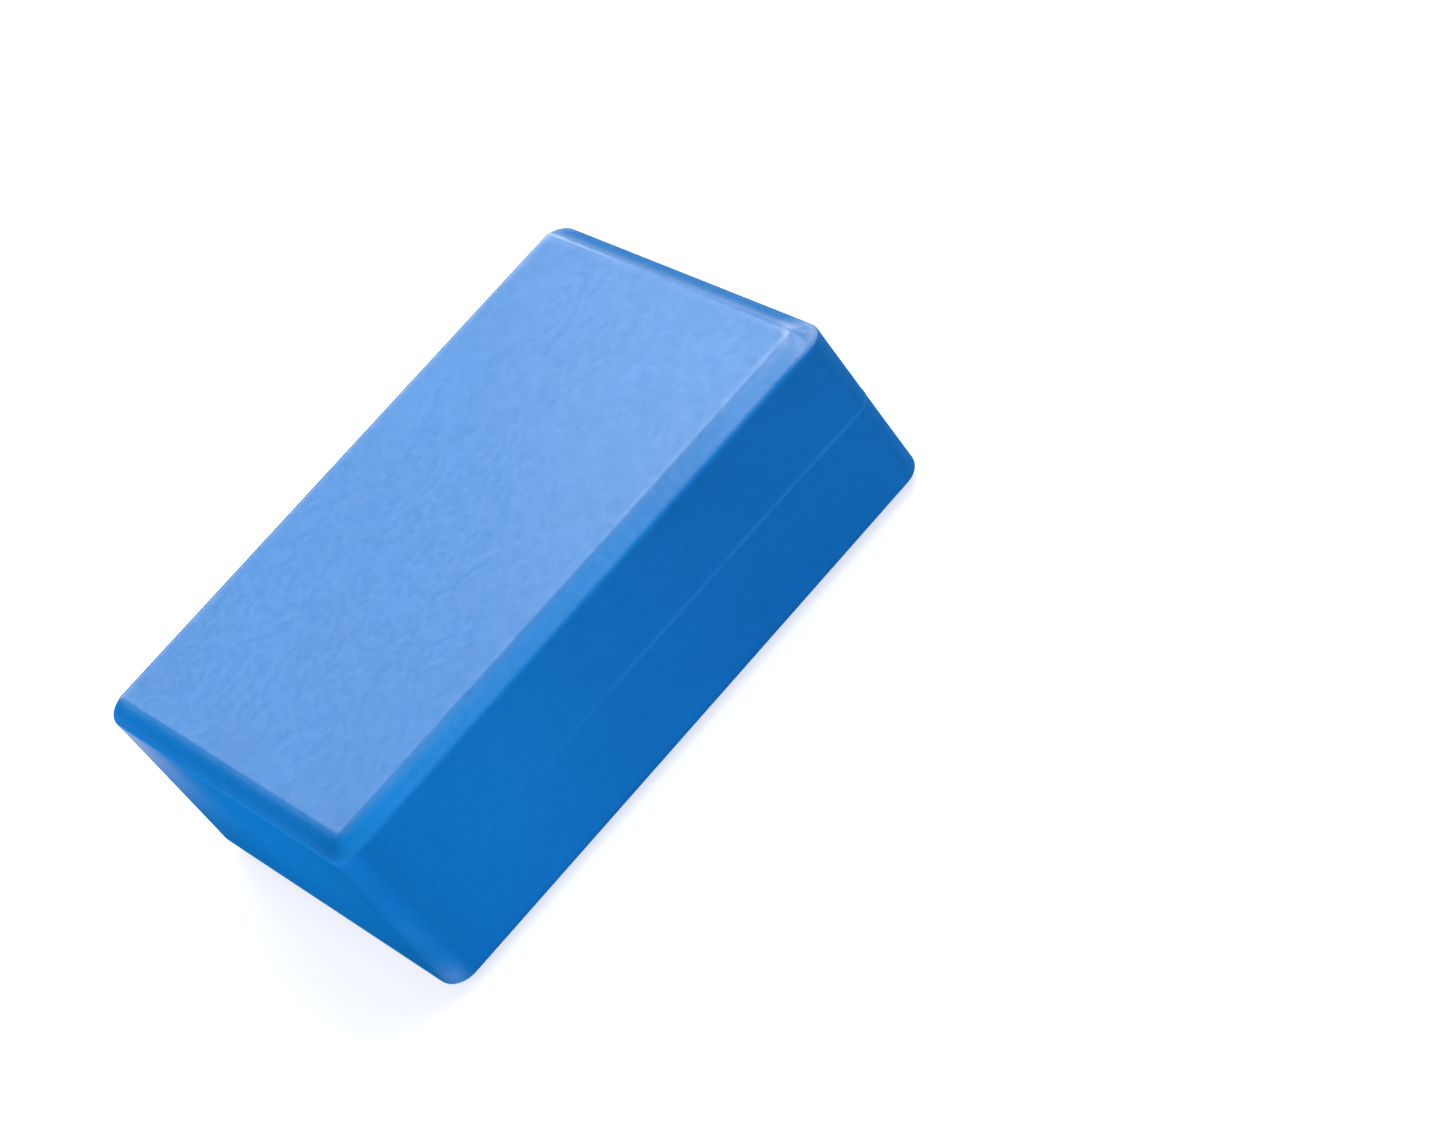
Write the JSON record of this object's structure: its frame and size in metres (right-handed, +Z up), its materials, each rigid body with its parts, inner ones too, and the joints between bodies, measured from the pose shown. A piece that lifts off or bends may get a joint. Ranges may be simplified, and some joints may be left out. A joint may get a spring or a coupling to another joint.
{
  "type": "foam block",
  "caption": "Rectangular closed-cell foam block with bevelled rims and rounded upright edges, laid flat or stood on a side as a firm, light support.",
  "frame": {"origin": "centre of the broad face that the block rests on", "axes": "+X along the length, +Y along the width, +Z up through the thickness"},
  "size_m": [0.2296, 0.1552, 0.075],
  "materials": {
    "eva_foam": "closed-cell EVA foam dyed blue, moulded skin with a soft satin sheen"
  },
  "bodies": {
    "root": {"foam_block": "eva_foam"}
  },
  "joints": []
}
